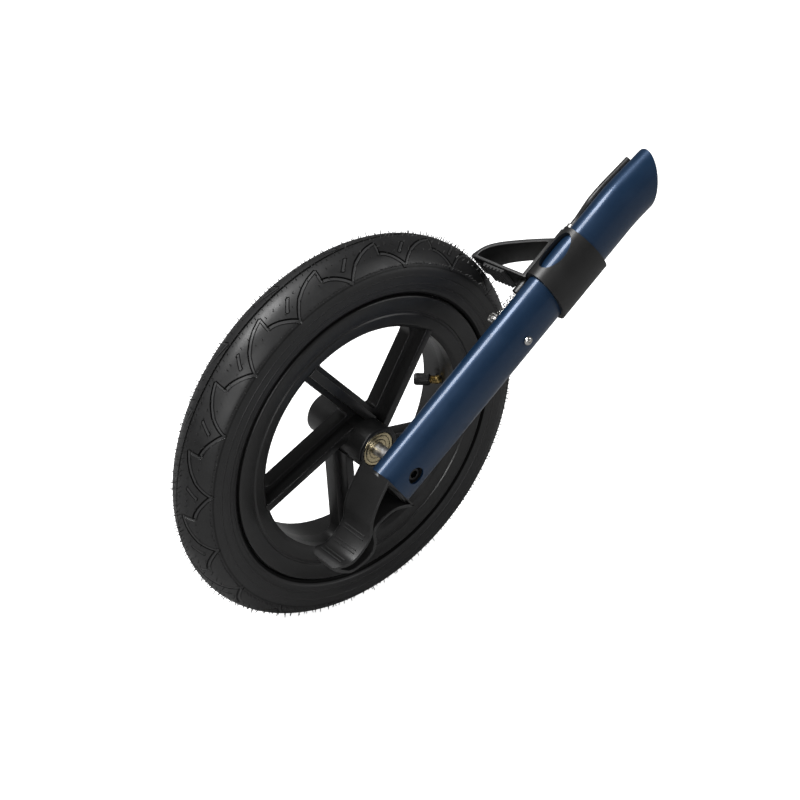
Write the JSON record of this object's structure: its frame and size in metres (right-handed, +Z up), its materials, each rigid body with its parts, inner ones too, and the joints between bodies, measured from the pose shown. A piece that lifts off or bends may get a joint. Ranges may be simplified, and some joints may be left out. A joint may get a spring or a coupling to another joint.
{
  "type": "stroller wheel and leg assembly",
  "caption": "Air-tyred spoked pushchair wheel, cantilevered from an oval leg that carries a sliding tyre brake, its cable and a foot pedal.",
  "frame": {"origin": "centre of the underside of the overall bounding box, at the height of the tyre's contact with the floor", "axes": "+X along the wheel plane towards the upper end of the leg, +Y along the axle from the leg towards the wheel, +Z up"},
  "size_m": [0.369, 0.1062, 0.3239],
  "materials": {
    "tyre_rubber": "worn black rubber",
    "tube_rubber": "smooth butyl rubber",
    "pad_rubber": "moulded rubber",
    "black_plastic": "satin moulded plastic",
    "cable_jacket": "smooth plastic jacket",
    "blue_paint": "dark blue metallic paint",
    "bright_steel": "zinc-plated steel",
    "black_steel": "blackened steel",
    "yellow_zinc": "yellow passivated zinc plate",
    "brass": "plain brass"
  },
  "bodies": {
    "leg": {"leg_tube": "blue_paint", "foot_pedal": "black_plastic", "anchor_screw": "bright_steel", "anchor_nut": "bright_steel", "axle": "bright_steel", "axle_bolt": "black_steel", "bearing_spacer": "bright_steel", "near_bearing_inner_race": "bright_steel", "far_bearing_inner_race": "bright_steel", "cable_housing": "cable_jacket", "brake_wire": "bright_steel", "return_spring": "bright_steel"},
    "wheel": {"wheel_rim": "black_plastic", "tyre": "tyre_rubber", "inner_tube": "tube_rubber", "valve_stem": "brass", "near_bearing_outer_race": "yellow_zinc", "near_bearing_shield": "yellow_zinc", "far_bearing_outer_race": "yellow_zinc", "far_bearing_shield": "yellow_zinc", "hub_cap": "black_plastic"},
    "near_balls": {"near_bearing_cage": "bright_steel"},
    "far_balls": {"far_bearing_cage": "bright_steel"},
    "brake": {"brake_carrier": "black_plastic", "brake_pad": "pad_rubber", "cable_ferrule": "bright_steel"},
    "cap": {"valve_cap": "black_plastic"}
  },
  "joints": [
    {"name": "wheel_spin", "type": "hinge", "parent": "leg", "child": "wheel", "pos_m": [-0.0355, 0.02745, 0.149], "axis": [0, 1, 0], "continuous": true},
    {"name": "near_balls_spin", "type": "hinge", "parent": "leg", "child": "near_balls", "pos_m": [-0.0355, -0.00355, 0.149], "axis": [0, 1, 0], "continuous": true},
    {"name": "far_balls_spin", "type": "hinge", "parent": "leg", "child": "far_balls", "pos_m": [-0.0355, 0.04445, 0.149], "axis": [0, 1, 0], "continuous": true},
    {"name": "brake_slide", "type": "slide", "parent": "leg", "child": "brake", "axis": [-0.8171, 0, -0.5764], "range_m": [-0.003, 0.0007], "stiffness_N_per_m": 800, "springref_m": -0.003, "deforming": ["return_spring"]},
    {"name": "valve_cap_pull", "type": "slide", "parent": "wheel", "child": "cap", "axis": [-0.7064, 0.7071, -0.0321], "range_m": [0, 0.01]}
  ],
  "couplings": [
    {"joint": "near_balls_spin", "follows": "wheel_spin", "ratio": 0.5806},
    {"joint": "far_balls_spin", "follows": "wheel_spin", "ratio": 0.5806}
  ]
}
